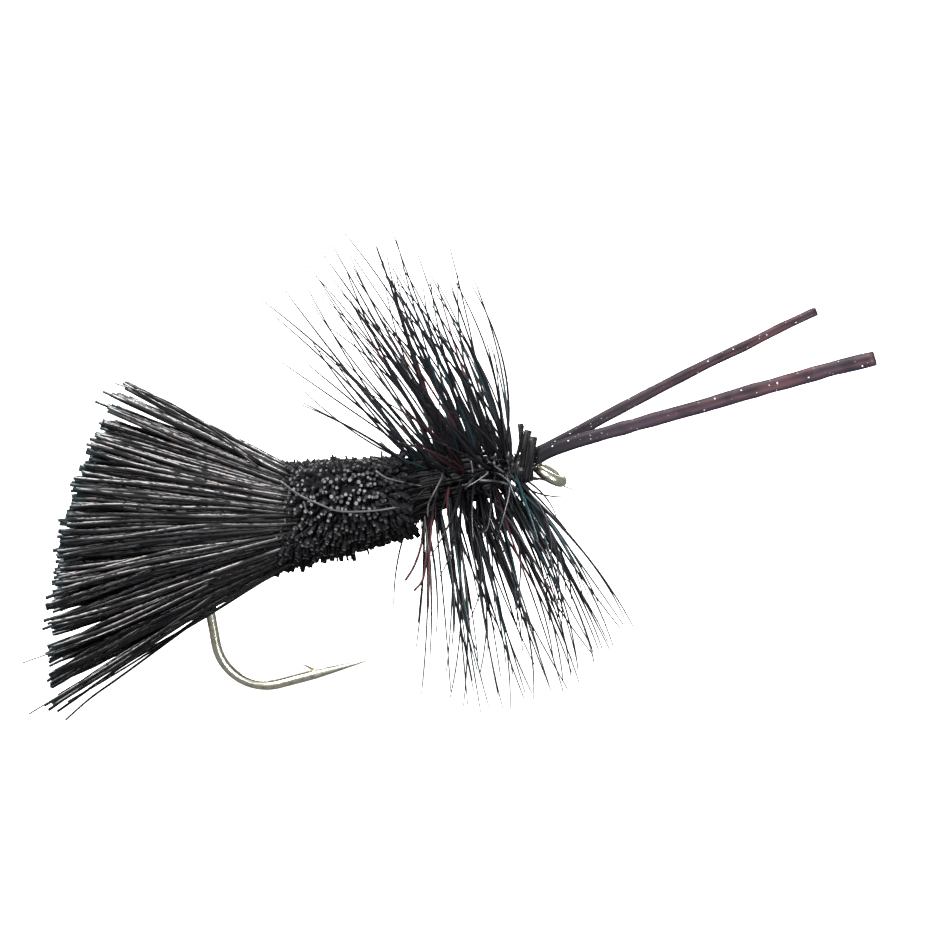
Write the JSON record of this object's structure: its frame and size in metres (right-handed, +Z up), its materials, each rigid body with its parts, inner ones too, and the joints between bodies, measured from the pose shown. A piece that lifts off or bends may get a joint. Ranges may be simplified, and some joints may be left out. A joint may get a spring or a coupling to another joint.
{
  "type": "dry fly",
  "caption": "Black dry fly with a fanned deer hair tail, trimmed spun body, wound hackle collar and two quill antennae on a barbed down-eye hook.",
  "frame": {"origin": "middle of the hook's eye ring", "axes": "+X forward out of the eye, +Y to the fly's far side, +Z up, with the fly in the stance in which it stands on its hackle and tail (shank 9.75 degrees nose up)"},
  "size_m": [0.0338, 0.0198, 0.0191],
  "materials": {
    "hook_wire": "bright plated wire",
    "long_hair": "dyed hair, satin",
    "trimmed_hair": "cut ends of dyed hair",
    "tying_thread": "waxed thread",
    "hackle_barbs": "dyed cock hackle",
    "feather_quill": "satin feather stem",
    "antenna_quill": "stripped feather stem",
    "head_varnish": "clear varnish over black thread"
  },
  "bodies": {
    "fly": {"hook": "hook_wire", "thread_base": "tying_thread", "tail_hair_fan": "long_hair", "tail_lashing": "tying_thread", "body_bundle_1": "trimmed_hair", "body_lashing_1": "tying_thread", "body_bundle_2": "trimmed_hair", "body_lashing_2": "tying_thread", "body_bundle_3": "trimmed_hair", "body_lashing_3": "tying_thread", "body_bundle_4": "trimmed_hair", "body_lashing_4": "tying_thread", "hackle_bed": "tying_thread", "rear_hackle_quill": "feather_quill", "front_hackle_quill": "feather_quill", "rear_hackle_barbs": "hackle_barbs", "front_hackle_barbs": "hackle_barbs", "near_bound_stalk": "feather_quill", "far_bound_stalk": "feather_quill", "head_thread": "tying_thread", "head_cement": "head_varnish", "whip_finish": "tying_thread", "trimmed_hackle_tips": "feather_quill"},
    "near_antenna_stem": {"near_antenna": "antenna_quill"},
    "far_antenna_stem": {"far_antenna": "antenna_quill"}
  },
  "joints": [
    {"name": "near_antenna_flex", "type": "hinge", "parent": "fly", "child": "near_antenna_stem", "pos_m": [-0.00061, -0.00042, 0.00062], "axis": [-0.2857, -0.9583, 0], "range_deg": [-20, 20], "stiffness_Nm_per_rad": 0.0005},
    {"name": "far_antenna_flex", "type": "hinge", "parent": "fly", "child": "far_antenna_stem", "pos_m": [-0.00061, 0.00042, 0.00062], "axis": [0.3338, -0.9426, 0], "range_deg": [-20, 20], "stiffness_Nm_per_rad": 0.0005}
  ]
}
